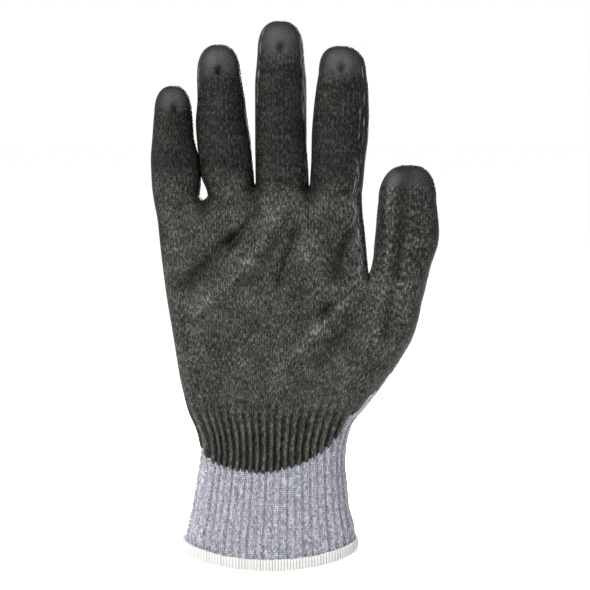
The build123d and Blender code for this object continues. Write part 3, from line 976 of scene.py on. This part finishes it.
# the elastic laid in behind the ribs: turns of thread, each a thin round tube along the outline
points, faces = [], []
sides = THREAD_SIDES
a = np.linspace(0, 2 * np.pi, sides, endpoint=False)[None, :, None]
for turn in range(ELASTIC_TURNS):
    at = ELASTIC_LOW + turn * ELASTIC_PITCH
    ox, oy = cuff_outline(np.array([[at]]))
    line = np.stack([ox[0, ::3], oy[0, ::3]], -1)
    out = line / np.linalg.norm(line, axis=1, keepdims=True)
    line = line - out * ELASTIC_INSET
    flat_part = line[:, None, :] + out[:, None, :] * ELASTIC_RADIUS * np.cos(a)
    high_part = at + ELASTIC_RADIUS * np.sin(a) + 0 * line[:, None, :1]
    tube = np.concatenate([flat_part, high_part], -1)
    size = len(line)
    i, j = np.meshgrid(np.arange(size), np.arange(sides), indexing="ij")
    i2, j2 = (i + 1) % size, (j + 1) % sides
    quads = np.stack([i * sides + j, i2 * sides + j, i2 * sides + j2, i * sides + j2], -1)
    faces.append(quads.reshape(-1, 4) + turn * size * sides)
    points.append(tube.reshape(-1, 3))
mesh = bpy.data.meshes.new("cuff_elastic_turns")
mesh.from_pydata((np.concatenate(points) * MM).tolist(), [], np.concatenate(faces).tolist())
mesh.polygons.foreach_set("use_smooth", np.ones(len(mesh.polygons), bool))
elastic = bpy.data.objects.new("cuff_elastic_turns", mesh)
bpy.context.scene.collection.objects.link(elastic)
place(elastic, ("cuff",), ["cuff_elastic"], elastic_look)

# the overlocked hem: a flattened roll around the edge, pinched between its loops ----------------
ox, oy = cuff_outline(np.array([[HEM_LEVEL]]))
line = np.stack([ox[0], oy[0]], -1)
arc = np.concatenate([[0], np.cumsum(np.linalg.norm(np.roll(line, -1, 0) - line, axis=1))])
line = np.vstack([line, line[:1]])
phase = np.arange(HEM_LOOPS * PER_LOOP) / PER_LOOP
run = phase / HEM_LOOPS * arc[-1]
hx, hy = np.interp(run, arc, line[:, 0]), np.interp(run, arc, line[:, 1])
half = PER_LOOP // 2
tangent = np.stack([np.roll(hx, -half) - np.roll(hx, half),
                    np.roll(hy, -half) - np.roll(hy, half)], -1)
tangent /= np.linalg.norm(tangent, axis=1, keepdims=True)
out = np.stack([tangent[:, 1], -tangent[:, 0]], -1)
which = np.floor(phase).astype(int)
reach = rng.uniform(-0.3, 0.45, HEM_LOOPS)[which]
gap = (rng.random(HEM_LOOPS) < HEM_GAPS)[which]
pinch = np.abs(np.sin(np.pi * phase)) ** np.where(gap, 0.75, 0.4)
thick = (HEM_HALF * (0.62 + 0.38 * pinch))[:, None]
tall = (HEM / 2 + reach * pinch * 0.6)[:, None]
a = np.linspace(0, 2 * np.pi, HEM_SIDES, endpoint=False)[None, :]
across = np.sign(np.cos(a)) * np.abs(np.cos(a)) ** 0.7 * thick
along = np.sign(np.sin(a)) * np.abs(np.sin(a)) ** 0.7 * tall
centre = (bow(hx) + HEM / 2)[:, None]
roll = np.stack([hx[:, None] + out[:, :1] * across, hy[:, None] + out[:, 1:] * across,
                 centre + along], -1)
roll = roll.transpose(1, 0, 2)
roll = np.concatenate([roll, roll[:1]], 0)
keep = np.ones((HEM_SIDES, roll.shape[1]), bool)
# painted shade between the loops where they pinch, darkest at the gaps of loops pulled thin
shade = np.broadcast_to(1 - pinch, roll.shape[:2])
shade = (shade * 0.9) ** 2 * np.where(gap, 1.0, 0.16)
hem = grid_mesh("hem_overlock_yarn", roll, normals(roll), phase[None, :], keep, {"gap": shade})
place(hem, ("cuff",), ["hem_overlock"], hem_look)


# stage ---------------------------------------------------------------------------------------
FLOOR_HALF = 60.0
FLOOR_HEIGHT = -0.1
corners = [(-FLOOR_HALF, -FLOOR_HALF), (FLOOR_HALF, -FLOOR_HALF), (FLOOR_HALF, FLOOR_HALF),
           (-FLOOR_HALF, FLOOR_HALF)]
floor_mesh = bpy.data.meshes.new("floor")
floor_mesh.from_pydata([(*corner, FLOOR_HEIGHT) for corner in corners], [], [(0, 1, 2, 3)])
floor = bpy.data.objects.new("floor", floor_mesh)
floor_mesh.materials.append(plain_material("floor_paper", PAPER, 1.0))
bpy.context.scene.collection.objects.link(floor)

world = bpy.data.worlds.new("studio")
world.use_nodes = True
world.node_tree.nodes["Background"].inputs[0].default_value = (1, 1, 1, 1)
world.node_tree.nodes["Background"].inputs[1].default_value = 1.0
bpy.context.scene.world = world


def area(name, position, aim, side, power):
    """Square area light of that side and power, turned to the point it is aimed at."""
    light = bpy.data.lights.new(name, "AREA")
    light.size = side
    light.energy = power
    obj = bpy.data.objects.new(name, light)
    bpy.context.scene.collection.objects.link(obj)
    obj.location = position
    direction = np.array(aim) - np.array(position)
    obj.rotation_euler = Vector(direction).to_track_quat("-Z", "Y").to_euler()


MIDDLE = (0, 0, 0.13)
area("key", (-0.7, -0.85, 0.95), MIDDLE, 0.5, 75)
area("back_key", (0.3, 1.25, 0.5), MIDDLE, 0.6, 60)
area("cuff_fill", (0.5, -0.35, 0.0), (0, 0, 0.03), 0.25, 2.4)

LENS = 120
SENSOR = 36
WIDTH_SEEN = 0.2687  # width of the picture at the glove
AIM = (0.0114, 0.0, 0.1257)
TILT = math.radians(4.5)
camera_data = bpy.data.cameras.new("camera")
camera_data.lens = LENS
camera_data.sensor_width = SENSOR
camera_data.clip_start = 0.01
camera = bpy.data.objects.new("camera", camera_data)
bpy.context.scene.collection.objects.link(camera)
bpy.context.scene.camera = camera
distance = WIDTH_SEEN * LENS / SENSOR
camera.location = (AIM[0], -distance * math.cos(TILT), AIM[2] + distance * math.sin(TILT))
camera.rotation_euler = (math.pi / 2 - TILT, 0, 0)

bpy.context.scene.view_settings.view_transform = "Standard"
